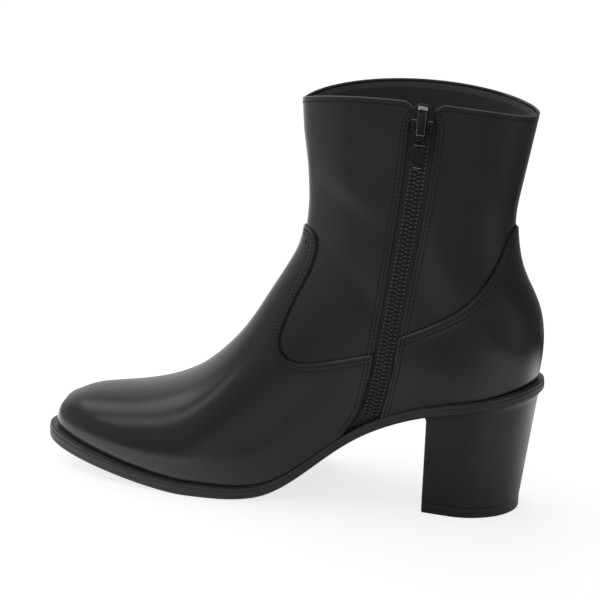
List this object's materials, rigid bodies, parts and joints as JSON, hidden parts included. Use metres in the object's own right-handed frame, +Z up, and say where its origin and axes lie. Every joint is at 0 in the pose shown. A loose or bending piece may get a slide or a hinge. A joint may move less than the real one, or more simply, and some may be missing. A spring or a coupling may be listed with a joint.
{
  "type": "ankle boot",
  "caption": "Black leather ankle boot for the right foot with an almond toe, overlaid vamp and heel counter, inside zip with a hinged pull tab, and a block heel.",
  "frame": {"origin": "centre of the bounding box, on the floor under the sole", "axes": "+Z up; toe towards -X and heel towards +X; inner side of the foot with the zip towards -Y"},
  "size_m": [0.2512, 0.0856, 0.2003],
  "materials": {
    "upper": "smooth satin",
    "vamp": "smooth satin",
    "counter": "smooth satin",
    "zip_tape": "woven",
    "zip_chain": "satin",
    "zip_slider": "satin black",
    "zip_pull": "satin black",
    "insole": "matt lining",
    "welt": "glossy",
    "outsole": "satin",
    "heel": "satin",
    "heel_tip": "matt"
  },
  "bodies": {
    "boot": {"upper": "upper", "vamp": "vamp", "counter": "counter", "zip_tape": "zip_tape", "zip_chain": "zip_chain", "zip_slider": "zip_slider", "insole": "insole", "welt": "welt", "outsole": "outsole", "heel": "heel", "heel_tip": "heel_tip"},
    "zip_pull": {"zip_pull": "zip_pull"}
  },
  "joints": [
    {"name": "pull_hinge", "type": "hinge", "parent": "boot", "child": "zip_pull", "pos_m": [0.06866, -0.03849, 0.18669], "axis": [-0.9947, -0.0709, 0.075], "range_deg": [0, 145]}
  ]
}
